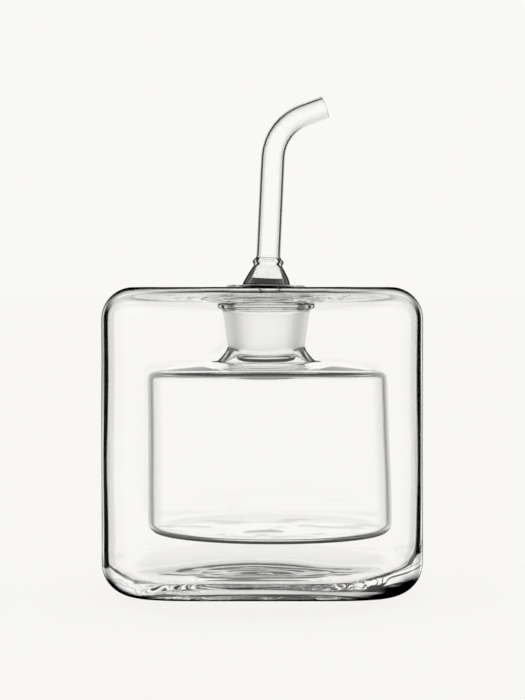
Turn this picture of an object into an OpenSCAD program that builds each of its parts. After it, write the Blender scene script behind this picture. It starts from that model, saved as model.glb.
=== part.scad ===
// Double-wall oil and vinegar cruet of clear blown glass.
// A straight-sided vessel hangs by its neck inside a square-shouldered shell, and the two are
// fused into one piece round a sealed air space. A hollow ground stopper, drawn out into a bent
// pouring spout, rests in the ground neck. Millimetres; the origin is the middle of the shell's
// footprint on the table, +Z is up and the spout pours towards +X.

/* [Outer shell] */
// Outside diameter of the shell
shell_d = 100; // [88:1:130]
// Height of the shell's flat top above the table
shell_h = 95.5; // [85:0.5:125]
// Glass thickness of the shell's side wall
shell_wall = 1.7; // [1:0.1:3]
// Outside radius of the shell's top and bottom corners
shell_corner_r = 10; // [7:0.5:14]
// Glass thickness of the flat top
top_t = 1.6; // [1:0.1:3]
// Extra thickness of the top where the neck is fused to it
top_swell = 2; // [0.5:0.1:3]
// Diameter over which the top thickens towards the neck
swell_d = 56; // [44:1:64]
// Glass thickness of the shell's bottom
floor_t = 3.2; // [2:0.1:6]
// Rise of the hollowed underside above the standing ring
punt_h = 1.5; // [0.5:0.1:4]
// Width of the flat standing ring
foot_w = 4; // [2:0.5:8]

/* [Inner vessel] */
// Air space between the shell's wall and the vessel's wall
side_gap = 10.7; // [8:0.1:16]
// Air space between the shell's bottom and the vessel's bottom
base_gap = 14.6; // [6:0.1:24]
// Glass thickness of the vessel's wall
vessel_wall = 1.4; // [0.8:0.1:2.5]
// Glass thickness of the vessel's bottom
vessel_floor_t = 1.4; // [0.8:0.1:3]
// Outside radius of the vessel's shoulder
shoulder_corner_r = 2.6; // [2:0.1:6]
// Outside radius of the vessel's bottom corner
vessel_corner_r = 3.6; // [3:0.1:8]
// Rise of the vessel's domed shoulder from its corner to the neck
dome_h = 3; // [1:0.1:6]
// Distance of the vessel's axis from the shell's axis, as the hand left it
vessel_x = 2.1; // [0:0.1:4]

/* [Neck] */
// Distance of the neck's axis from the shell's axis, as the hand left it
neck_x = 1.2; // [0:0.1:3]
// Diameter of the ground socket at its wide upper end
ground_top_d = 24; // [22:0.1:27]
// Diameter of the ground socket at its narrow lower end
ground_base_d = 20.4; // [18:0.1:21.5]
// Length of the ground taper
ground_len = 12; // [8:0.5:16]
// Glass thickness round the ground socket
neck_wall = 1.75; // [1.2:0.05:2.4]
// Diameter of the collar under the shell's top
collar_d = 30.4; // [29.5:0.1:34]
// Height of the collar below the thickened top
collar_h = 3; // [2:0.1:5]
// Diameter of the clear mouth above the ground taper
mouth_d = 26.2; // [25.8:0.1:28]
// Rounding of the mouth's upper edge
mouth_round = 0.9; // [0.3:0.1:1.2]
// Height of the flare from the neck's waist to the vessel's dome
flare_h = 4.5; // [3:0.1:7]
// Outside diameter of the flare where it meets the dome
flare_d = 30.6; // [29:0.1:36]

/* [Stopper] */
// Radial clearance between the ground stopper and its socket
ground_clearance = 0.05; // [0.02:0.01:0.1]
// Glass thickness of the hollow stopper
stopper_wall = 1.5; // [1:0.1:2]
// Length of the clear rim below the ground taper
rim_len = 3.5; // [2:0.1:6]
// Diameter of the stopper's clear shoulder in the mouth
stopper_shoulder_d = 24.8; // [24.4:0.1:25.4]
// Height of the stopper's top above the ground taper
stopper_top_h = 7.3; // [6.5:0.1:9]
// Glass thickness of the stopper's top
stopper_top_t = 1.2; // [0.8:0.1:2]

/* [Spout] */
// Outside diameter of the spout's tube
tube_d = 8.3; // [7:0.1:9.5]
// Bore of the spout's tube
tube_bore = 6.4; // [4.8:0.1:6.6]
// Outside diameter of the spout's flared foot on the stopper
foot_d = 14.8; // [13:0.1:17]
// Bore of the spout's flared foot
foot_bore = 12; // [10:0.1:12.4]
// Height of the flared foot
foot_h = 6.4; // [4:0.1:12]
// Height of the straight rise from the stopper's top to the bend
spout_rise = 39.6; // [25:0.2:60]
// Radius of the bend on the tube's centre line
bend_r = 15; // [10:0.5:25]
// Angle that the bend turns through
bend_angle = 67; // [40:1:85]
// Length of the straight tip
tip_len = 7; // [3:0.5:15]
// Lean of the spout towards its tip, in degrees, as the hand left it
spout_lean = 2.6; // [0:0.1:4]

/* [Hidden] */
$fn = 96;
glass = [0.86, 0.9, 0.92, 0.45];
stopper_glass = [0.8, 0.86, 0.9, 0.6];
// Steps along each rounded corner and each drawn curve
arc_steps = 9;
curve_steps = 8;
// Overrun of a cut past the face that it opens
cut = 1;
// Rounding of the collar's lower edge and of the stopper's edges
collar_round = 1.6;
stopper_round = 1;
rim_round = 0.7;
// Height over which the mouth widens out of the ground taper
mouth_step = 0.6;
// Bow of the glass where the neck flares out, as a power of the height
flare_bow = 1.3;
// How far the tip is drawn in from the bend's radius, and how far it starts inside the bend
tip_draw = 0.05;
tip_lap = 0.5;

shell_r = shell_d / 2;
gap_r = shell_r - shell_wall;
gap_corner_r = shell_corner_r - shell_wall;
gap_top = shell_h - top_t;
foot_ring_r = shell_r - shell_corner_r;
punt_r = foot_ring_r - foot_w;

collar_r = collar_d / 2;
collar_top = gap_top - top_swell;
ground_top = collar_top - collar_h;
ground_taper = (ground_top_d - ground_base_d) / 2 / ground_len;
waist_z = ground_top - ground_len;
ground_top_r = ground_top_d / 2;
ground_base_r = ground_base_d / 2;
waist_r = ground_base_r + neck_wall;
flare_r = flare_d / 2;
flare_z = waist_z - flare_h;
mouth_r = mouth_d / 2;

vessel_r = gap_r - side_gap;
vessel_base = punt_h + floor_t + base_gap;
shoulder_z = flare_z - dome_h;
chamber_r = vessel_r - vessel_wall;
chamber_base = vessel_base + vessel_floor_t;
chamber_top = flare_z - vessel_wall;
chamber_corner_r = max(vessel_corner_r - vessel_wall, vessel_wall / 2);
chamber_shoulder_r = max(shoulder_corner_r - vessel_wall, vessel_wall / 2);
flare_in_r = flare_r - neck_wall;

plug_top_r = ground_top_r - ground_clearance;
plug_end = waist_z - rim_len;
plug_end_r = plug_top_r - (ground_len + rim_len) * ground_taper;
stopper_shoulder_r = stopper_shoulder_d / 2;
stopper_top = ground_top + stopper_top_h;
stopper_roof = stopper_top - stopper_top_t;
bend_start = stopper_top + spout_rise;

// Points [r, z] along a round corner
function corner(r, z, radius, from, to) =
    [for (i = [0 : arc_steps]) let (a = from + (to - from) * i / arc_steps)
        [r + radius * cos(a), z + radius * sin(a)]];

// Points [r, z] along a curve that eases between two ends and is level at both
function ease(r0, z0, r1, z1) =
    [for (i = [0 : curve_steps]) let (t = i / curve_steps)
        [r0 + (r1 - r0) * t, z0 + (z1 - z0) * (1 - cos(180 * t)) / 2]];

// Points [r, z] along a curve that eases between two ends and is upright at both
function bell(r0, z0, r1, z1) =
    [for (i = [0 : curve_steps]) let (t = i / curve_steps)
        [r0 + (r1 - r0) * (1 - cos(180 * t)) / 2, z0 + (z1 - z0) * t]];

// Points [r, z] along the flare under the neck, from its foot up to its waist
function flare(r0, z0, r1, z1) =
    [for (i = [0 : curve_steps]) let (t = i / curve_steps)
        [r1 + (r0 - r1) * pow(1 - t, flare_bow), z0 + (z1 - z0) * t]];

// Points [r, z] along a shallow bow that is level at its inner end
function bow(r0, z0, r1, z1) =
    [for (i = [0 : curve_steps]) let (t = i / curve_steps) [r0 + (r1 - r0) * t, z0 + (z1 - z0) * t * t]];

// Points [r, z] from the foot of a vessel's wall up to the middle of its dome
function vessel_side(radius, base, shoulder, top, inner_r, base_round, shoulder_round) =
    let (slope = atan(2 * (top - shoulder) / (radius - shoulder_round - inner_r)))
    let (round_in = radius - shoulder_round, round_z = shoulder - shoulder_round)
    concat(
        corner(radius - base_round, base + base_round, base_round, -90, 0),
        corner(round_in, round_z, shoulder_round, 0, 90 - slope),
        reversed(bow(inner_r, top, round_in, shoulder))
    );

function reversed(points) = [for (i = [len(points) - 1 : -1 : 0]) points[i]];

// The neck and the stopper stand upright on the neck's own axis
module on_neck() {
    translate([neck_x, 0, 0]) children();
}

// The vessel hangs a little to one side of the neck
module under_neck() {
    translate([vessel_x, 0, 0]) children();
}

// The spout leans from the top of the ground taper
module on_stopper() {
    translate([neck_x, 0, ground_top]) rotate([0, spout_lean, 0]) translate([0, 0, -ground_top]) children();
}

module shell_outside() {
    rotate_extrude() polygon(concat(
        bow(0, punt_h, punt_r, 0),
        corner(foot_ring_r, shell_corner_r, shell_corner_r, -90, 0),
        corner(foot_ring_r, shell_h - shell_corner_r, shell_corner_r, 0, 90),
        [[0, shell_h]]
    ));
}

// The sealed air space, before the vessel and its neck fill their part of it
module air_space() {
    rotate_extrude() polygon(concat(
        bow(0, floor_t + punt_h, punt_r, floor_t),
        corner(gap_r - gap_corner_r, floor_t + gap_corner_r, gap_corner_r, -90, 0),
        corner(gap_r - gap_corner_r, gap_top - gap_corner_r, gap_corner_r, 0, 90),
        [[0, gap_top]]
    ));
}

module neck_outside() {
    rotate_extrude() polygon(concat(
        [[0, flare_z - vessel_wall / 2], [flare_r, flare_z - vessel_wall / 2]],
        flare(flare_r, flare_z, waist_r, waist_z),
        [[ground_top_r + neck_wall, ground_top]],
        corner(collar_r - collar_round, ground_top + collar_round, collar_round, -60, 0),
        ease(collar_r, collar_top, swell_d / 2, gap_top),
        [[swell_d / 2, gap_top + top_t / 2], [0, gap_top + top_t / 2]]
    ));
}

module vessel_outside() {
    rotate_extrude() polygon(concat(
        [[0, vessel_base]],
        vessel_side(vessel_r, vessel_base, shoulder_z, flare_z, flare_r, vessel_corner_r, shoulder_corner_r),
        [[0, flare_z]]
    ));
}

// The way in: the clear mouth, the ground taper and the flare below it
module socket() {
    rotate_extrude() polygon(concat(
        [[0, chamber_top - cut], [flare_in_r, chamber_top - cut]],
        flare(flare_in_r, chamber_top, ground_base_r, waist_z),
        [[ground_top_r, ground_top], [mouth_r, ground_top + mouth_step]],
        reversed(corner(mouth_r + mouth_round, shell_h - mouth_round, mouth_round, 90, 180)),
        [[mouth_r + mouth_round, shell_h + cut], [0, shell_h + cut]]
    ));
}

// The chamber that holds the oil or vinegar
module chamber() {
    rotate_extrude() polygon(concat(
        [[0, chamber_base]],
        vessel_side(chamber_r, chamber_base, shoulder_z - vessel_wall, chamber_top, flare_in_r,
            chamber_corner_r, chamber_shoulder_r),
        [[0, chamber_top]]
    ));
}

module double_wall_vessel() {
    color(glass) difference() {
        shell_outside();
        difference() {
            air_space();
            on_neck() neck_outside();
            under_neck() vessel_outside();
        }
        on_neck() socket();
        under_neck() chamber();
    }
}

module plug_outside() {
    rotate_extrude() polygon(concat(
        [[0, plug_end]],
        corner(plug_end_r - rim_round, plug_end + rim_round, rim_round, -90, 0),
        [[plug_top_r, ground_top]],
        [[stopper_shoulder_r, ground_top + 2 * mouth_step]],
        corner(stopper_shoulder_r - stopper_round, stopper_top - stopper_round, stopper_round, 0, 90),
        [[0, stopper_top]]
    ));
}

module plug_hollow() {
    hollow_r = stopper_shoulder_r - stopper_wall - stopper_round;
    rotate_extrude() polygon(concat(
        [[0, plug_end - cut], [plug_end_r - stopper_wall, plug_end - cut]],
        [[plug_end_r - stopper_wall, plug_end], [plug_top_r - stopper_wall, ground_top]],
        corner(hollow_r - stopper_round, stopper_roof - 2 * stopper_round, 2 * stopper_round, 0, 90),
        [[0, stopper_roof]]
    ));
}

// One run along the spout's centre line, used for its outside and again for its bore
module spout_run(foot_radius, tube_radius, base_z, over) {
    rotate_extrude() polygon(concat(
        [[0, base_z], [foot_radius, base_z]],
        bell(foot_radius, stopper_top, tube_radius, stopper_top + foot_h),
        [[tube_radius, bend_start], [0, bend_start]]
    ));
    translate([bend_r, 0, bend_start]) {
        rotate([90, 0, 180])
            rotate_extrude(angle = bend_angle) translate([bend_r, 0]) circle(r = tube_radius);
        rotate([0, bend_angle, 0]) translate([-bend_r, 0, -tip_lap])
            cylinder(r = tube_radius - tip_draw, h = tip_len + tip_lap + over);
    }
}

module pouring_stopper() {
    color(stopper_glass) difference() {
        union() {
            on_neck() plug_outside();
            on_stopper() spout_run(foot_d / 2, tube_d / 2, stopper_roof, 0);
        }
        on_neck() plug_hollow();
        on_stopper() spout_run(foot_bore / 2, tube_bore / 2, stopper_roof - cut, cut);
    }
}

double_wall_vessel();
pouring_stopper();
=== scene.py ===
"""Looks for the double-wall oil and vinegar cruet of clear blown glass.

The two glass pieces are turned as profiles and bent by hand, as a lampworker draws them, and take the
place of the CAD nodes. Metres, in the CAD frame: Z is up and the spout pours towards +X.
"""
import math

import bmesh
import bpy
from mathutils import Matrix, Vector, noise


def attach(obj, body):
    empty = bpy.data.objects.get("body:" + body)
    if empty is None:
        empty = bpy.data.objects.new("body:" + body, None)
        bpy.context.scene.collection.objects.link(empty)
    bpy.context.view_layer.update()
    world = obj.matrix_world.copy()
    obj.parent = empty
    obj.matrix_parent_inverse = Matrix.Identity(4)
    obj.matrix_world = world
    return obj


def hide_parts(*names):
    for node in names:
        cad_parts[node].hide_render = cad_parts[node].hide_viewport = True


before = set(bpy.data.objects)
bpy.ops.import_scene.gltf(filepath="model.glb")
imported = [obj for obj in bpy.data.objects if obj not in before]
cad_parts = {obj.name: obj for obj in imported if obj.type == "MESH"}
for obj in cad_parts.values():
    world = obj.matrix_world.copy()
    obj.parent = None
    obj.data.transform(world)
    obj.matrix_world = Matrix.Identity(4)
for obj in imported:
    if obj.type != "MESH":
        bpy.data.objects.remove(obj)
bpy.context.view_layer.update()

MM = 0.001
AROUND = 224  # steps round a turned piece
SECTORS = 8  # equal sectors that a turned piece is copied from
WELD = 0.002  # points of neighbouring sectors closer than this are one, mm
FINE_STEP = 2.2  # longest step along a straight wall, mm
ROUND_STEP = 7.5  # step along a rounding, degrees

# Outer shell, mm
SHELL_R = 50.0
SHELL_WALL = 1.7
SHELL_TOP = 95.5
SHELL_CORNER = 10.0
GAP_R = SHELL_R - SHELL_WALL  # the sealed air space
GAP_CORNER = SHELL_CORNER - SHELL_WALL
GAP_TOP = 93.9
GAP_BASE = 3.2
SWELL_R = 28.0  # where the collar's swell runs out into the flat top
PUNT_RISE = 1.5  # the hollow of the underside
PUNT_R = 36.0
RING_R = SHELL_R - SHELL_CORNER

# Neck, mm
NECK_X = 1.2  # off the shell's axis
NECK_WALL = 1.75
MOUTH_R = 13.1
MOUTH_ROUND = 0.9
MOUTH_STEP = 0.6
GROUND_TOP = 88.9
GROUND_TOP_R = 12.0
WAIST = 76.9
GROUND_BASE_R = 10.2
COLLAR_R = 15.2
COLLAR_TOP = 91.9
COLLAR_ROUND = 1.6
FLARE = 72.4
FLARE_R = 15.3
FLARE_BOW = 1.5

# Inner vessel, mm
VESSEL_X = 2.1  # off the shell's axis
VESSEL_R = 37.6
VESSEL_WALL = 1.4
VESSEL_BASE = 19.3
VESSEL_ROUND = 3.6
SHOULDER = 69.4
SHOULDER_ROUND = 2.6
CHAMBER_BASE = VESSEL_BASE + VESSEL_WALL

# Stopper and spout, mm
CLEARANCE = 0.05
PLUG_END = 71.2
RIM_ROUND = 0.75
RIM_TALL = 1.2
STOPPER_R = 12.4
STOPPER_WALL = 1.5
STOPPER_TOP = 96.2
STOPPER_ROOF = 95.0
STOPPER_ROUND = 1.0
FOOT_R = 7.4
FOOT_TOP_R = 4.4
FOOT_TALL = 5.9
FOOT_BORE_R = 5.8
DARK_BORE_TOP = 98.1  # the glass of the foot's bore is dark up to this height
BORE_STEPS = ((3.8, 101.6), (3.4, 102.6))  # (r, z) where the foot's hollow runs into the tube's bore
BORE_START = 105.6
BORE_R = 2.93
TUBE_R = 3.8
BEAD_LOW = 102.2
BEAD_TALL = 2.6
BEAD_PROUD = 0.7
BEND_START = 135.8
BEND_R = 15.0
BEND_ANGLE = math.radians(67)
TIP_LONG = 7.0

# Hand-made unevenness, mm
PLATE_WAVES = 0.16
BASE_SWIRL = 0.34
BASE_STREAKS = 0.07
BASE_HEAVY = 1.4  # more glass in the heel on the spout's side
BASE_ROCK = 3.0  # the base's lift at the front and the back
BASE_REACH = 14.0  # how high the base's unevenness reaches
WALL_WAVES = 0.12
SKIN_SHARE = 0.35  # how much of it the outer skin has
NECK_SAG = 0.9
SAG_REACH = 10.0  # distance from the axis at which the neck sags so much
SAG_TALL = 2.5
VESSEL_GROWS = 0.9  # wider at its foot than at its shoulder
VESSEL_LEANS = 0.9  # its foot further off the axis than its shoulder
SHOULDER_LIFT = 1.2
FLOOR_WAVES = 0.22
DIMPLES = ((-2.2, -27.0), (33.0, -13.0))  # marks in the vessel's floor
DIMPLE_R = 2.6
DIMPLE_DEEP = 0.5
RIM_SLANT = 2.8  # the plug's end reaches lower behind
RIM_SAG = 0.5
SPOUT_LEAN = math.radians(2.6)
TIP_THIN = 0.07  # how much thinner the tube is drawn towards its tip
THIN_START = 8.0  # how far under the bend the thinning starts
INNER_BEND = 0.6  # how far towards the inside of the bend the thinned tube stays

# Where one part of the glass ends and the next begins, mm
SHELL_ALONE_R = 45.0  # only the shell is further out
SHELL_ALONE_Z = 16.0  # only the shell is lower
MIDDLE_Z = 50.0
TOP_LINE_TALL = 1.2
NECK_PART_R = 17.0
WAIST_TALL = 1.4
PART_EDGE = 0.1  # slack when a point's radius is compared


# ---- profiles: points (r, z) in mm ------------------------------------------------------------

def corner(r, z, radius, start, end):
    """A rounded corner about (r, z), from one angle to another."""
    steps = max(2, round(abs(end - start) / ROUND_STEP))
    angles = [math.radians(start + (end - start) * i / steps) for i in range(steps + 1)]
    return [(r + radius * math.cos(a), z + radius * math.sin(a)) for a in angles]


def curve(r0, z0, r1, z1, r_share, z_share, steps=10):
    """A curve between two points. The shares say how far it has come, 0 to 1, in r and in z."""
    places = [i / steps for i in range(steps + 1)]
    return [(r0 + (r1 - r0) * r_share(t), z0 + (z1 - z0) * z_share(t)) for t in places]


def evenly(t):
    return t


def eased(t):
    """Slow at both ends."""
    return (1 - math.cos(math.pi * t)) / 2


def bow(r0, z0, r1, z1):
    """A shallow bow, level at its inner end."""
    return curve(r0, z0, r1, z1, evenly, lambda t: t ** 2)


def swell(r0, z0, r1, z1):
    """A curve that is level at both ends."""
    return curve(r0, z0, r1, z1, evenly, eased)


def full_cone(r0, z0, r1, z1):
    """A cone that swells slightly at its foot."""
    return curve(r0, z0, r1, z1, lambda t: t ** 1.25, evenly)


def flare(r0, z0, r1, z1):
    """The flare under the neck, from its foot up to its waist."""
    return curve(r0, z0, r1, z1, lambda t: 1 - (1 - t) ** FLARE_BOW, evenly)


def bead():
    """The bead left where the tube was joined to its foot."""
    line = curve(FOOT_TOP_R, BEAD_LOW, TUBE_R, BEAD_LOW + BEAD_TALL, eased, evenly, 12)
    return [(r + BEAD_PROUD * math.sin(math.pi * (z - BEAD_LOW) / BEAD_TALL) ** 2, z) for r, z in line]


def drawn(points):
    """The same profile with its long straight runs cut into steps and repeated points left out."""
    fine = [points[0]]
    for r, z in points[1:]:
        r0, z0 = fine[-1]
        reach = math.hypot(r - r0, z - z0)
        if reach < 0.01:
            continue
        steps = math.ceil(reach / FINE_STEP)
        fine += [(r0 + (r - r0) * i / steps, z0 + (z - z0) * i / steps) for i in range(1, steps + 1)]
    return fine


def vessel_side(radius, base, shoulder, top, inner_r, base_round, shoulder_round):
    """From the foot of the vessel's wall up to the middle of its dome."""
    inner = radius - shoulder_round
    slope = math.degrees(math.atan(2 * (top - shoulder) / (inner - inner_r)))
    return (corner(radius - base_round, base + base_round, base_round, -90, 0)
            + corner(inner, shoulder - shoulder_round, shoulder_round, 0, 90 - slope)
            + bow(inner_r, top, inner, shoulder)[::-1])


def skin_profile():
    """The glass that the hand and the oil touch: shell, mouth, ground socket, flare and chamber."""
    chamber = vessel_side(
        VESSEL_R - VESSEL_WALL, CHAMBER_BASE, SHOULDER - VESSEL_WALL, FLARE - VESSEL_WALL,
        FLARE_R - NECK_WALL, VESSEL_ROUND - VESSEL_WALL, SHOULDER_ROUND - VESSEL_WALL)
    return drawn(
        bow(0, PUNT_RISE, PUNT_R, 0)
        + corner(RING_R, SHELL_CORNER, SHELL_CORNER, -90, 0)
        + corner(RING_R, SHELL_TOP - SHELL_CORNER, SHELL_CORNER, 0, 90)
        + corner(MOUTH_R + MOUTH_ROUND, SHELL_TOP - MOUTH_ROUND, MOUTH_ROUND, 90, 180)
        + [(MOUTH_R, GROUND_TOP + MOUTH_STEP), (GROUND_TOP_R, GROUND_TOP)]
        + flare(FLARE_R - NECK_WALL, FLARE - VESSEL_WALL, GROUND_BASE_R, WAIST)[::-1]
        + chamber[::-1]
        + [(0, CHAMBER_BASE)])


def air_profile():
    """The sealed air space between the shell and the vessel."""
    return drawn(
        bow(0, GAP_BASE + PUNT_RISE, PUNT_R, GAP_BASE)
        + corner(GAP_R - GAP_CORNER, GAP_BASE + GAP_CORNER, GAP_CORNER, -90, 0)
        + corner(GAP_R - GAP_CORNER, GAP_TOP - GAP_CORNER, GAP_CORNER, 0, 90)
        + swell(COLLAR_R, COLLAR_TOP, SWELL_R, GAP_TOP)[::-1]
        + corner(COLLAR_R - COLLAR_ROUND, GROUND_TOP + COLLAR_ROUND, COLLAR_ROUND, 0, -60)
        + [(GROUND_TOP_R + NECK_WALL, GROUND_TOP)]
        + flare(FLARE_R, FLARE, GROUND_BASE_R + NECK_WALL, WAIST)[::-1]
        + vessel_side(VESSEL_R, VESSEL_BASE, SHOULDER, FLARE, FLARE_R, VESSEL_ROUND, SHOULDER_ROUND)[::-1]
        + [(0, VESSEL_BASE)])


def stopper_profile():
    """Outside of the stopper from its lower rim to the spout's tip, and back down its bore."""
    taper = (GROUND_TOP_R - GROUND_BASE_R) / (GROUND_TOP - WAIST)
    plug_r = GROUND_TOP_R - CLEARANCE
    end_r = plug_r - (GROUND_TOP - PLUG_END) * taper
    rim_r = end_r + 0.05
    tip = BEND_START + BEND_R * BEND_ANGLE + TIP_LONG
    lip = (TUBE_R - BORE_R) / 2
    hollow_r = STOPPER_R - STOPPER_WALL - STOPPER_ROUND
    return drawn(
        corner(end_r - RIM_ROUND, PLUG_END + RIM_ROUND, RIM_ROUND, -90, 0)
        + [(rim_r, PLUG_END + RIM_TALL), (plug_r, GROUND_TOP), (STOPPER_R, GROUND_TOP + 2 * MOUTH_STEP)]
        + corner(STOPPER_R - STOPPER_ROUND, STOPPER_TOP - STOPPER_ROUND, STOPPER_ROUND, 0, 90)
        + full_cone(FOOT_R, STOPPER_TOP, FOOT_TOP_R, STOPPER_TOP + FOOT_TALL)
        + bead()
        + corner(TUBE_R - lip, tip - lip, lip, 0, 90)
        + corner(BORE_R + lip, tip - lip, lip, 90, 180)
        + [(BORE_R, BORE_START), *BORE_STEPS[::-1], (FOOT_BORE_R, STOPPER_TOP), (FOOT_BORE_R, STOPPER_ROOF)]
        + corner(hollow_r - STOPPER_ROUND, STOPPER_ROOF - 2 * STOPPER_ROUND, 2 * STOPPER_ROUND, 90, 0)
        + [(plug_r - STOPPER_WALL, GROUND_TOP), (rim_r - STOPPER_WALL, PLUG_END + RIM_TALL)]
        + corner(end_r - STOPPER_WALL + RIM_ROUND, PLUG_END + RIM_ROUND, RIM_ROUND, 180, 270))


def turned(bm, profile, closed=False):
    """Turns a profile full round the Z axis in bm, in mm, and returns its faces."""
    known = set(bm.verts)
    line = [bm.verts.new((r, 0, z)) for r, z in profile]
    edges = [bm.edges.new(pair) for pair in zip(line, line[1:])]
    if closed:
        edges.append(bm.edges.new((line[-1], line[0])))
    bmesh.ops.spin(bm, geom=line + edges, cent=(0, 0, 0), axis=(0, 0, 1), angle=math.tau / SECTORS,
                   steps=AROUND // SECTORS, use_merge=False, use_duplicate=False)
    turn = math.tau / SECTORS
    while turn < math.pi + 0.01:
        made = [v for v in bm.verts if v not in known]
        parts = made + [e for e in bm.edges if e.verts[0] not in known]
        parts += [f for f in bm.faces if f.verts[0] not in known]
        copy = bmesh.ops.duplicate(bm, geom=parts)["geom"]
        bmesh.ops.rotate(bm, verts=[v for v in copy if isinstance(v, bmesh.types.BMVert)],
                         cent=(0, 0, 0), matrix=Matrix.Rotation(turn, 3, "Z"))
        turn *= 2
    bmesh.ops.remove_doubles(bm, verts=[v for v in bm.verts if v not in known], dist=WELD)
    faces = list({f for v in bm.verts if v not in known for f in v.link_faces})
    bmesh.ops.recalc_face_normals(bm, faces=faces)
    return faces


def smooth_step(t):
    t = min(max(t, 0.0), 1.0)
    return t * t * (3 - 2 * t)


def finished(bm, name, glasses):
    """The piece as a smooth object, in metres, with one material for each named glass."""
    bmesh.ops.scale(bm, vec=(MM, MM, MM), verts=bm.verts)
    mesh = bpy.data.meshes.new(name)
    bm.to_mesh(mesh)
    bm.free()
    mesh.shade_smooth()
    for part, bands in glasses.items():
        mesh.materials.append(clear_glass(part + "_glass", **bands))
    piece = bpy.data.objects.new(name, mesh)
    bpy.context.scene.collection.objects.link(piece)
    return piece


# ---- materials --------------------------------------------------------------------------------

GLASS_IOR = 1.47
FLOOR_SHADE = 0.1  # how much of the glass's painted dark bands darkens its shadow on the floor
GROUND_ROUGH = 0.42
GROUND_EDGE = 0.9  # soft edge of the ground joint, mm
GROUND_WANDER = 1.6  # how uneven that edge is, mm
PAINTED_DARK_SIDE_X = (14 * MM, 34 * MM)  # the heel's glass is painted darker between these places along X, on the side where it is also thicker


def new_group(name, inputs, output):
    """An empty value group with the named number inputs and one number output."""
    group = bpy.data.node_groups.new(name, "ShaderNodeTree")
    for label in inputs:
        group.interface.new_socket(name=label, in_out="INPUT", socket_type="NodeSocketFloat")
    group.interface.new_socket(name=output, in_out="OUTPUT", socket_type="NodeSocketFloat")
    return group, group.nodes.new("NodeGroupInput").outputs, group.nodes.new("NodeGroupOutput").inputs[0]


def fill(tree, socket, value):
    """Sets a socket to a number, or links another socket to it."""
    if isinstance(value, (int, float)):
        socket.default_value = value
    else:
        tree.links.new(value, socket)


def math_node(tree, operation, *values):
    """A Math node whose inputs are numbers or sockets."""
    node = tree.nodes.new("ShaderNodeMath")
    node.operation = operation
    for socket, value in zip(node.inputs, values):
        fill(tree, socket, value)
    return node.outputs[0]


def coordinate(tree, space, axis):
    """One axis of a Texture Coordinate output."""
    split = tree.nodes.new("ShaderNodeSeparateXYZ")
    tree.links.new(tree.nodes.new("ShaderNodeTexCoord").outputs[space], split.inputs[0])
    return split.outputs[axis]


def ramp_between(tree, value, low, high):
    """Rises smoothly from 0 at low to 1 at high."""
    node = tree.nodes.new("ShaderNodeMapRange")
    node.interpolation_type = "SMOOTHSTEP"
    for label, given in (("Value", value), ("From Min", low), ("From Max", high)):
        fill(tree, node.inputs[label], given)
    return node.outputs["Result"]


def between(tree, rise, fall):
    """1 after the rise and before the fall."""
    return math_node(tree, "SUBTRACT", rise, math_node(tree, "MULTIPLY", rise, fall))


def make_painted_dark_band():
    """Group: painted reflection and shade, as how much light is left where the glass is painted dark between
    two angles, with soft ends.
    """
    group, given, result = new_group(
        "painted_dark_band", ("Cosine", "From", "To", "Soft before", "Soft after", "Depth"), "Light")
    cosine, start, end, before, after, depth = given[:6]
    rise = ramp_between(group, cosine, math_node(group, "SUBTRACT", start, before), start)
    fall = ramp_between(group, cosine, end, math_node(group, "ADD", end, after))
    shade = math_node(group, "MULTIPLY", between(group, rise, fall), depth)
    group.links.new(math_node(group, "SUBTRACT", 1.0, shade), result)
    return group


def make_upright():
    """Group: 1 on upright walls, falling to 0 where the wall lies level."""
    group, given, result = new_group("upright", ("Steep", "Level"), "Share")
    slope = math_node(group, "ABSOLUTE", coordinate(group, "Normal", "Z"))
    level = ramp_between(group, slope, given[0], given[1])
    group.links.new(math_node(group, "SUBTRACT", 1.0, level), result)
    return group


def make_ground():
    """Group: 1 on the ground joint between two heights, with a slightly uneven edge, in metres."""
    group, given, result = new_group("ground_joint", ("Bottom", "Top", "Edge"), "Ground")
    bottom, top, edge = given[:3]
    wander = group.nodes.new("ShaderNodeTexNoise")
    wander.inputs["Scale"].default_value = 140.0
    wander.inputs["Detail"].default_value = 2.0
    where = group.nodes.new("ShaderNodeTexCoord")
    group.links.new(where.outputs["Object"], wander.inputs["Vector"])
    spread = math_node(group, "SUBTRACT", wander.outputs["Fac"], 0.5)
    shift = math_node(group, "MULTIPLY", spread, GROUND_WANDER * MM)
    aside = math_node(group, "POWER", coordinate(group, "Object", "Y"), 2.0)
    sag = math_node(group, "MULTIPLY", aside, NECK_SAG * MM / (SAG_REACH * MM) ** 2)
    height = math_node(group, "ADD", math_node(group, "ADD", coordinate(group, "Object", "Z"), sag), shift)
    low = ramp_between(group, height, bottom, math_node(group, "ADD", bottom, edge))
    high = ramp_between(group, height, math_node(group, "SUBTRACT", top, edge), top)
    group.links.new(between(group, low, high), result)
    return group


def make_painted_dark_side():
    """Group: rises from 0 to 1 between two places along X, in metres, where the glass is painted darker on
    one side.
    """
    group, given, result = new_group("painted_dark_side", ("From", "To"), "Share")
    group.links.new(ramp_between(group, coordinate(group, "Object", "X"), given[0], given[1]), result)
    return group


PAINTED_DARK_BAND = make_painted_dark_band()
PAINTED_DARK_SIDE = make_painted_dark_side()
UPRIGHT = make_upright()
GROUND = make_ground()


def placed(tree, group, *values):
    """The group's node in a material, with its inputs set or linked in their order."""
    node = tree.nodes.new("ShaderNodeGroup")
    node.node_tree = group
    for socket, value in zip(node.inputs, values):
        fill(tree, socket, value)
    return node.outputs[0]


def banded(tree, cosine, bands):
    """How much light is left by a list of painted dark bands, as a socket, or 1.0 without any."""
    light = 1.0
    for band in bands:
        light = math_node(tree, "MULTIPLY", placed(tree, PAINTED_DARK_BAND, cosine, *band), light)
    return light


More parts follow.
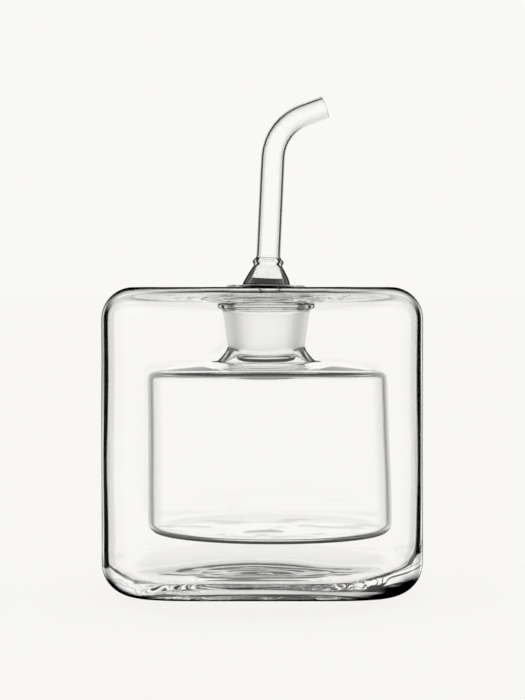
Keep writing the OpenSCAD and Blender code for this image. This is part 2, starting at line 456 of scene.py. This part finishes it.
def mixed(tree, share, first, second):
    """The first value, turning into the second as share goes from 0 to 1."""
    if first == second:
        return first
    node = tree.nodes.new("ShaderNodeMix")
    for label, value in (("Factor", share), ("A", first), ("B", second)):
        fill(tree, node.inputs[label], value)
    return node.outputs["Result"]


def clear_glass(name, walls, levels, slopes=(0.2, 0.8), ground=False, heavy=None):
    """Clear blown glass that bends light and mirrors it, with painted reflection and shade in the colour of
    both.

    walls and levels are the painted dark bands of upright walls and of level parts, as listed under "painted
    dark bands". slopes says where one turns into the other, by the upright share of the normal. ground adds
    the matt joint. heavy takes over from levels where the glass is thicker, on the spout's side, with bands
    painted darker.
    The bands are painted reflection and shade: they darken the glass by angle, in place of the dark sides of
    a studio, which clear glass shows as its lines.
    """
    mat = bpy.data.materials.new(name)
    mat.use_nodes = True
    tree = mat.node_tree
    nodes, links = tree.nodes, tree.links
    nodes.remove(nodes["Principled BSDF"])
    angle = nodes.new("ShaderNodeLayerWeight")
    angle.inputs["Blend"].default_value = 0.5
    cosine = math_node(tree, "SUBTRACT", 1.0, angle.outputs["Facing"])
    behind = nodes.new("ShaderNodeNewGeometry").outputs["Backfacing"]
    upright = placed(tree, UPRIGHT, *slopes)
    path = nodes.new("ShaderNodeLightPath")
    # the painted dark bands act in full on what is seen, and by FLOOR_SHADE only on light that reaches the
    # floor
    looked_at = math_node(tree, "LESS_THAN", path.outputs["Diffuse Depth"], 0.5)
    acting = math_node(tree, "MAXIMUM", looked_at, FLOOR_SHADE)
    flats = [banded(tree, cosine, level) for level in levels]
    if heavy:
        darker_side = placed(tree, PAINTED_DARK_SIDE, *PAINTED_DARK_SIDE_X)
        flats = [mixed(tree, darker_side, flat, banded(tree, cosine, more)) for flat, more in zip(flats, heavy)]
    from_air, in_glass, out_of_glass, into_glass = [
        mixed(tree, upright, flat, banded(tree, cosine, wall)) for wall, flat in zip(walls, flats)]
    bend = nodes.new("ShaderNodeBsdfRefraction")
    bend.inputs["Roughness"].default_value = 0.0
    bend.inputs["IOR"].default_value = GLASS_IOR
    gleam = nodes.new("ShaderNodeBsdfGlossy")
    gleam.inputs["Roughness"].default_value = 0.0
    for shader, air, glass in ((gleam, from_air, in_glass), (bend, into_glass, out_of_glass)):
        light = mixed(tree, behind, air, glass)
        if light == 1.0:
            shader.inputs["Color"].default_value = (1, 1, 1, 1)
            continue
        # painted shade: the bands darken the colour of the mirrored and the bent light
        dark = math_node(tree, "MULTIPLY", math_node(tree, "SUBTRACT", 1.0, light), acting)
        grey = nodes.new("ShaderNodeCombineColor")
        for socket in grey.inputs:
            links.new(math_node(tree, "SUBTRACT", 1.0, dark), socket)
        links.new(grey.outputs[0], shader.inputs["Color"])
    if ground:
        joint = placed(tree, GROUND, (WAIST - GROUND_EDGE) * MM, GROUND_TOP * MM, GROUND_EDGE * MM)
        rough = math_node(tree, "MULTIPLY", joint, GROUND_ROUGH)
        links.new(rough, bend.inputs["Roughness"])
        links.new(rough, gleam.inputs["Roughness"])
    share = nodes.new("ShaderNodeFresnel")
    share.inputs["IOR"].default_value = GLASS_IOR
    both = nodes.new("ShaderNodeMixShader")
    for socket, source in zip(both.inputs, (share, bend, gleam)):
        links.new(source.outputs[0], socket)
    links.new(both.outputs[0], nodes["Material Output"].inputs["Surface"])
    return mat


# ---- painted dark bands: painted reflection and shade in the glass ----------------------------
# Each set paints dark reflection and shade into the glass, and has four lists: what is mirrored from the air,
# what is mirrored in the glass, what is bent out of the glass, and what is bent into it. A band is (from, to,
# soft before, soft after, depth), by the cosine of the angle to the surface: 0 along it and 1 straight at it.
# In the glass, all light is mirrored below 0.733.

# a band that paints the glass black at every angle
DARK = ((-0.1, 1.1, 0.01, 0.01, 0.97),)
BRIGHT = ((), (), (), ())
SHELL_WALLS = (
    ((-0.1, 0.09, 0.01, 0.02, 0.85), (0.172, 0.275, 0.012, 0.05, 0.97)),
    ((0.7195, 0.7335, 0.0015, 0.008, 1.0),),
    ((0.6, 0.735, 0.01, 0.08, 0.05),),
    ())
TOP_LEVELS = (
    ((-0.1, 0.17, 0.01, 0.1, 0.97),),
    ((0.715, 0.729, 0.004, 0.002, 0.3),),
    (),
    ())
TOP_SKIN = (
    ((-0.1, 0.15, 0.01, 0.08, 1.0),),
    ((0.715, 0.729, 0.004, 0.002, 0.3),),
    (),
    ((-0.1, 0.1, 0.01, 0.08, 1.0),))
TOP_LINE = (
    ((-0.1, 0.34, 0.01, 0.1, 1.0),),
    ((0.715, 0.729, 0.004, 0.002, 0.3),),
    (),
    ((-0.1, 0.25, 0.01, 0.1, 1.0),))
HEEL_LEVELS = (
    ((-0.1, 0.17, 0.01, 0.1, 0.2),),
    ((0.725, 0.7335, 0.004, 0.002, 0.2),),
    (),
    ())
HEEL_SKIN = (
    ((-0.1, 0.24, 0.01, 0.12, 1.0),),
    ((0.725, 0.7335, 0.004, 0.002, 0.3),),
    (),
    ((-0.1, 0.18, 0.01, 0.12, 1.0),))
# painted shade: darker bands for the heel on the spout's side, where its glass is also thicker
HEEL_SKIN_DARK_SIDE = (
    ((-0.1, 0.4, 0.01, 0.12, 1.0),),
    ((0.715, 0.7335, 0.008, 0.002, 0.9),),
    (),
    ((-0.1, 0.32, 0.01, 0.14, 1.0),))
BASE_LEVELS = (
    ((0.03, 0.2, 0.03, 0.1, 0.6),),
    ((0.69, 0.733, 0.02, 0.006, 1.0),),
    (),
    ())
VESSEL_WALLS = (
    (),
    ((0.731, 0.7345, 0.022, 0.012, 0.93),),
    ((0.6, 0.735, 0.01, 0.06, 0.2),),
    ())
VESSEL_ROUNDS = (
    ((-0.1, 0.55, 0.02, 0.15, 1.0),),
    ((0.62, 0.7335, 0.02, 0.008, 0.9),),
    (),
    ((-0.1, 0.55, 0.02, 0.15, 1.0),))
CHAMBER_ROUNDS = (
    (),
    ((0.2, 0.52, 0.02, 0.03, 1.0), (0.67, 0.7335, 0.02, 0.008, 0.85)),
    (),
    ())
NECK_WALLS = (
    (),
    ((0.72, 0.735, 0.01, 0.02, 0.25),),
    (),
    ())
COLLAR_WALLS = (
    ((0.17, 0.4, 0.03, 0.1, 0.8),),
    ((0.6, 0.64, 0.01, 0.01, 0.6), (0.69, 0.728, 0.01, 0.01, 1.0)),
    ((0.68, 0.8, 0.01, 0.05, 0.1),),
    ())
WAIST_WALLS = (
    ((0.05, 0.26, 0.02, 0.08, 1.0),),
    ((0.6, 0.735, 0.02, 0.02, 1.0),),
    ((0.66, 0.8, 0.01, 0.04, 0.95),),
    ())
FLARE_WALLS = (
    ((-0.1, 0.2, 0.02, 0.06, 1.0), (0.4, 1.1, 0.1, 0.01, 0.9)),
    ((0.5, 0.585, 0.01, 0.02, 1.0), (0.68, 0.735, 0.012, 0.01, 1.0)),
    (),
    ())
FLARE_LEVELS = (
    ((-0.1, 0.2, 0.02, 0.06, 1.0), (0.4, 1.1, 0.1, 0.01, 0.9)),
    ((0.7, 0.735, 0.012, 0.01, 1.0),),
    (),
    ((-0.1, 0.22, 0.01, 0.1, 1.0),))
TUBE_WALLS = (
    (),
    ((0.585, 0.718, 0.03, 0.012, 1.0),),
    ((0.6, 0.74, 0.01, 0.18, 0.38),),
    ())
FOOT_WALLS = (
    ((-0.1, 0.3, 0.01, 0.12, 1.0),),
    ((0.4, 0.48, 0.04, 0.03, 0.6), (0.61, 0.735, 0.03, 0.02, 1.0)),
    ((0.6, 0.76, 0.02, 0.05, 0.45),),
    ((-0.1, 0.3, 0.01, 0.14, 1.0),))
# the foot's bore lets no light through its glass below DARK_BORE_TOP
DARK_BORE_WALLS = ((), FOOT_WALLS[1], DARK, ())
# painted dark: the plug's rim is black at every angle, painted in place of its dark reflections
RIM_WALLS = (DARK, DARK, DARK, DARK)
STEP_WALLS = (
    (),
    ((0.45, 0.78, 0.05, 0.04, 1.0),),
    ((0.6, 0.74, 0.01, 0.05, 0.7),),
    ())

VESSEL_GLASSES = {
    "shell": {"walls": SHELL_WALLS, "levels": SHELL_WALLS},
    "top_corner": {"walls": SHELL_WALLS, "levels": TOP_LEVELS},
    "heel": {"walls": SHELL_WALLS, "levels": HEEL_LEVELS},
    "plate": {"walls": SHELL_WALLS, "levels": BRIGHT},
    "base": {"walls": SHELL_WALLS, "levels": BASE_LEVELS},
    "vessel": {"walls": VESSEL_WALLS, "levels": BRIGHT},
    "neck": {"walls": NECK_WALLS, "levels": NECK_WALLS, "ground": True},
    "flare": {"walls": FLARE_WALLS, "levels": FLARE_LEVELS, "slopes": (0.46, 0.62)},
    "vessel_corner": {"walls": VESSEL_WALLS, "levels": VESSEL_ROUNDS},
    "collar": {"walls": COLLAR_WALLS, "levels": COLLAR_WALLS},
    "waist": {"walls": WAIST_WALLS, "levels": WAIST_WALLS},
    "top_skin": {"walls": SHELL_WALLS, "levels": TOP_SKIN},
    "heel_skin": {"walls": SHELL_WALLS, "levels": HEEL_SKIN, "slopes": (0.1, 0.5), "heavy": HEEL_SKIN_DARK_SIDE},
    "chamber_corner": {"walls": VESSEL_WALLS, "levels": CHAMBER_ROUNDS},
    "top_line": {"walls": TOP_SKIN, "levels": TOP_LINE, "slopes": (0.85, 0.97)},
}
# Parts whose outer skin or chamber side has a glass of its own
SKIN_GLASSES = {"top_corner": "top_skin", "heel": "heel_skin", "vessel_corner": "chamber_corner"}

STOPPER_GLASSES = {
    "tube": {"walls": TUBE_WALLS, "levels": BRIGHT, "slopes": (0.5, 1.05)},
    "foot": {"walls": FOOT_WALLS, "levels": FOOT_WALLS},
    "plug": {"walls": BRIGHT, "levels": BRIGHT, "ground": True},
    "rim": {"walls": RIM_WALLS, "levels": RIM_WALLS},
    "dark_bore": {"walls": DARK_BORE_WALLS, "levels": DARK_BORE_WALLS},
    "step": {"walls": STEP_WALLS, "levels": BRIGHT},
}


# ---- the vessel and its shell -----------------------------------------------------------------

def on_shell(r, z):
    """Whether a point of the profile is on the outer shell rather than the neck or the vessel."""
    return z > COLLAR_TOP or r > SHELL_ALONE_R or z < SHELL_ALONE_Z


def wall_part(r, z):
    """Which part of the glass a point of the profile is on, as a name in VESSEL_GLASSES."""
    if on_shell(r, z):
        if r < RING_R:
            return "plate" if z > MIDDLE_Z else "base"
        if z > SHELL_TOP - TOP_LINE_TALL:
            return "top_line"
        return "heel" if z < SHELL_CORNER else "top_corner" if z > SHELL_TOP - SHELL_CORNER else "shell"
    if r > NECK_PART_R or z < FLARE - VESSEL_WALL:
        if r < VESSEL_R - VESSEL_ROUND - 1:
            return "vessel"
        if z < VESSEL_BASE + VESSEL_ROUND:
            return "vessel_corner"
        return "chamber_corner" if z > SHOULDER - SHOULDER_ROUND - VESSEL_WALL else "vessel"
    if z > WAIST:
        return "collar" if z > GROUND_TOP else "neck"
    return "waist" if z > WAIST - WAIST_TALL else "flare"


def vessel_height(z):
    """0.5 at the foot of the vessel, falling to -0.5 at its shoulder."""
    return 0.5 - (z - VESSEL_BASE) / (SHOULDER - VESSEL_BASE)


def hand_drift(r, z):
    """How far the neck and the vessel stand off the shell's axis at a point of the profile, mm."""
    if z > GROUND_TOP:
        return NECK_X * smooth_step((SWELL_R - r) / (SWELL_R - COLLAR_R))
    if z > WAIST:
        return NECK_X if r < 20 else 0.0
    if on_shell(r, z):
        return 0.0
    lean = VESSEL_LEANS * vessel_height(z)
    return NECK_X + (VESSEL_X - NECK_X + lean) * smooth_step((r - 12) / 24 + (FLARE - z) / 10)


def top_waves(p, r, inner):
    """Lift of the flat top, which was melted on round the neck, mm."""
    reach = smooth_step((r - MOUTH_R) / 6) * smooth_step((RING_R + 4 - r) / 6)
    ring = math.sin(r * 0.95 + 2.4 * noise.noise(p / 17 + Vector((3, 1, inner))))
    lumps = noise.noise(p / 6 + Vector((7, 2, inner * 5)))
    return PLATE_WAVES * inner * reach * (0.6 * ring + lumps)


def base_unevenness(p, r, out, inner, low):
    """How the hollowed base is moved: swirled where it was closed, heavy on one side, and rocked, mm."""
    turn = math.atan2(p.y, p.x)
    swirl = math.sin(r * 0.8 + turn + 2.2 * noise.noise(p / 16 + Vector((5, 9, inner))))
    patch = noise.noise(Vector((p.x / 11, p.y / 11, 4 * inner)))
    middle = smooth_step((PUNT_R - r) / 6)
    lift = BASE_SWIRL * inner * middle * (0.55 + 0.45 * swirl + patch)
    lift += BASE_ROCK * (p.y / RING_R) ** 2 * low ** 2
    edge = smooth_step((r - RING_R + 3) / 6) * low
    streak = noise.noise(Vector((turn * 4, p.z / 1.3, r / 1.6 + 3 * inner)))
    push = BASE_STREAKS * inner * edge * (0.5 + 0.5 * streak)
    if inner == 1.0:
        push += BASE_HEAVY * smooth_step(math.cos(turn) * 1.6 - 0.5) * edge
    return Vector((0, 0, lift)) - out * push


def shell_unevenness(p, r, out, inner):
    """What blowing and joining by hand add to the shell, mm."""
    move = Vector()
    if p.z > COLLAR_TOP:
        move.z += top_waves(p, r, inner)
    low = smooth_step((GAP_BASE + BASE_REACH - p.z) / BASE_REACH)
    if low > 0:
        move += base_unevenness(p, r, out, inner, low)
    sway = noise.noise(Vector((p.x / 45, p.y / 45, p.z / 28 + 11 * inner)))
    return move + out * WALL_WAVES * smooth_step((r - RING_R) / 6) * (sway - 0.5)


def vessel_unevenness(p, r, out):
    """What blowing by hand adds to the inner vessel, mm."""
    sway = noise.noise(Vector((p.x / 25, p.y / 25, p.z / 16 + 5)))
    move = out * WALL_WAVES * smooth_step((r - 20) / 10) * sway
    move.z += SHOULDER_LIFT * min(p.y / VESSEL_R, 0) ** 2 * smooth_step((p.z - SHOULDER + 8) / 6)
    base = smooth_step((VESSEL_BASE + 3 - p.z) / 3) * smooth_step((VESSEL_R - 2 - r) / 5)
    move.z += FLOOR_WAVES * base * noise.noise(Vector((p.x / 13, p.y / 13, p.z)))
    for x, y in DIMPLES:
        near = math.hypot(p.x - x, p.y - y) / DIMPLE_R
        move.z += DIMPLE_DEEP * base * math.exp(-near * near)
    return move


def blown_unevenness(p, inner):
    """How handwork moves a point of the turned glass, mm. inner is 1 in the air space, less on the skin."""
    r = math.hypot(p.x, p.y)
    out = Vector((p.x, p.y, 0)) / max(r, 1e-6)
    if on_shell(r, p.z):
        return shell_unevenness(p, r, out, inner)
    if r < NECK_PART_R and p.z > FLARE - VESSEL_WALL:
        sag = NECK_SAG * (p.y / SAG_REACH) ** 2 * math.exp(-((p.z - WAIST) / SAG_TALL) ** 2)
        return Vector((0, 0, -sag))
    return vessel_unevenness(p, r, out)


def make_vessel():
    bm = bmesh.new()
    turned(bm, skin_profile())
    skin = set(bm.verts)
    air = turned(bm, air_profile())
    bmesh.ops.reverse_faces(bm, faces=air)
    places = {part: i for i, part in enumerate(VESSEL_GLASSES)}
    for face in bm.faces:
        middle = face.calc_center_median()
        part = wall_part(math.hypot(middle.x, middle.y), middle.z)
        if face.verts[0] in skin:
            part = SKIN_GLASSES.get(part, part)
        face.material_index = places[part]
    for v in bm.verts:
        r, z = math.hypot(v.co.x, v.co.y), v.co.z
        if wall_part(r, z) in ("vessel", "vessel_corner", "chamber_corner"):
            grown = (VESSEL_R + VESSEL_GROWS * vessel_height(z)) / VESSEL_R
            v.co.x, v.co.y = v.co.x * grown, v.co.y * grown
        v.co += blown_unevenness(v.co, SKIN_SHARE if v in skin else 1.0)
        v.co.x += hand_drift(r, z)
    return finished(bm, "blown_vessel", VESSEL_GLASSES)


# ---- the stopper ------------------------------------------------------------------------------

def spout_place(point):
    """Where a point of the straight stopper lies once the spout is leant and bent, mm."""
    x, y, z = point
    lean = SPOUT_LEAN * smooth_step((z - STOPPER_ROOF) / 4)
    rise = z - GROUND_TOP
    along = z - BEND_START
    thin = TIP_THIN * smooth_step((along + THIN_START) / (BEND_R * BEND_ANGLE + TIP_LONG + THIN_START))
    x, y = x * (1 - thin) + INNER_BEND * TUBE_R * thin, y * (1 - thin)
    if along <= 0:
        place = Vector((x, y, rise))
    else:
        turn = min(along / BEND_R, BEND_ANGLE)
        tip = max(along - BEND_R * BEND_ANGLE, 0.0)
        centre = Vector((BEND_R * (1 - math.cos(turn)), 0, BEND_START - GROUND_TOP + BEND_R * math.sin(turn)))
        ahead = Vector((math.sin(turn), 0, math.cos(turn)))
        side = Vector((math.cos(turn), 0, -math.sin(turn)))
        place = centre + ahead * tip + side * x + Vector((0, y, 0))
    place = Matrix.Rotation(lean, 3, "Y") @ place
    droop = (RIM_SLANT if y > 0 else RIM_SAG) * (y / GROUND_BASE_R) ** 2
    place.z -= droop * smooth_step((PLUG_END + 3 - z) / 2)
    return place + Vector((NECK_X, 0, GROUND_TOP))


def stopper_part(r, z):
    """Which part of the stopper a point of the profile is on, as a name in STOPPER_GLASSES."""
    if z > BEAD_LOW + BEAD_TALL:
        return "tube"
    if r < FOOT_R + PART_EDGE and z > STOPPER_ROOF:
        return "dark_bore" if r < FOOT_BORE_R + PART_EDGE and z < DARK_BORE_TOP else "foot"
    if z > GROUND_TOP:
        return "step"
    return "plug" if z > PLUG_END + RIM_TALL else "rim"


def make_stopper():
    bm = bmesh.new()
    turned(bm, stopper_profile(), closed=True)
    places = {part: i for i, part in enumerate(STOPPER_GLASSES)}
    for face in bm.faces:
        middle = face.calc_center_median()
        face.material_index = places[stopper_part(math.hypot(middle.x, middle.y), middle.z)]
    for v in bm.verts:
        v.co = spout_place(v.co)
    return finished(bm, "spout_stopper", STOPPER_GLASSES)


vessel = make_vessel()
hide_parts("double_wall_vessel")
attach(vessel, "root")
stopper = make_stopper()
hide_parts("pouring_stopper")
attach(stopper, "root")


# ---- floor, light and camera ------------------------------------------------------------------

PAPER = (0.947, 0.939, 0.922, 1)
FLOOR_HALF = 30.0  # m
BELT = (0.47, 0.67)  # the world goes from paper to black between these heights, 0.5 being level
CAMERA_PLACE = (0.0001, -0.709, 0.0946)
CAMERA_DOWN = 1.507  # degrees under level
CAMERA_LENS = 117.26


def make_floor():
    bm = bmesh.new()
    bmesh.ops.create_grid(bm, x_segments=1, y_segments=1, size=FLOOR_HALF)
    mesh = bpy.data.meshes.new("floor")
    bm.to_mesh(mesh)
    bm.free()
    floor = bpy.data.objects.new("floor", mesh)
    bpy.context.scene.collection.objects.link(floor)
    mat = bpy.data.materials.new("pale_paper")
    mat.use_nodes = True
    bsdf = mat.node_tree.nodes["Principled BSDF"]
    bsdf.inputs["Base Color"].default_value = PAPER
    bsdf.inputs["Roughness"].default_value = 1.0
    bsdf.inputs["Specular IOR Level"].default_value = 0.0
    mesh.materials.append(mat)


def color_mix(tree, share, first, second):
    """The first colour, turning into the second, a plain colour, as share goes from 0 to 1."""
    node = tree.nodes.new("ShaderNodeMix")
    node.data_type = "RGBA"
    tree.links.new(share, node.inputs["Factor"])
    tree.links.new(first, node.inputs[6])
    node.inputs[7].default_value = second
    return node.outputs[2]


def make_world():
    """Plain soft light: paper below, dark above for the glass to mirror, and white for the floor."""
    world = bpy.data.worlds.new("studio")
    world.use_nodes = True
    tree = world.node_tree
    back = tree.nodes["Background"]
    path = tree.nodes.new("ShaderNodeLightPath")
    belt = tree.nodes.new("ShaderNodeValToRGB")
    tree.links.new(coordinate(tree, "Generated", "Z"), belt.inputs["Fac"])
    for end, place, color in zip(belt.color_ramp.elements, BELT, (PAPER, (0, 0, 0, 1))):
        end.position = place
        end.color = color
    off_floor = math_node(tree, "GREATER_THAN", path.outputs["Diffuse Depth"], 0.5)
    lit = color_mix(tree, off_floor, belt.outputs["Color"], (1, 1, 1, 1))
    seen = color_mix(tree, path.outputs["Is Camera Ray"], lit, PAPER)
    tree.links.new(seen, back.inputs["Color"])
    back.inputs["Strength"].default_value = 1.0
    bpy.context.scene.world = world


def make_camera():
    data = bpy.data.cameras.new("camera")
    data.lens = CAMERA_LENS
    data.clip_start, data.clip_end = 0.01, 100
    camera = bpy.data.objects.new("camera", data)
    bpy.context.scene.collection.objects.link(camera)
    camera.location = CAMERA_PLACE
    camera.rotation_euler = (math.radians(90 - CAMERA_DOWN), 0, 0)
    bpy.context.scene.camera = camera


make_floor()
make_world()
make_camera()

scene = bpy.context.scene
scene.view_settings.view_transform = "Standard"
scene.cycles.max_bounces = 40
scene.cycles.transmission_bounces = 40
scene.cycles.glossy_bounces = 24
scene.cycles.blur_glossy = 0.0
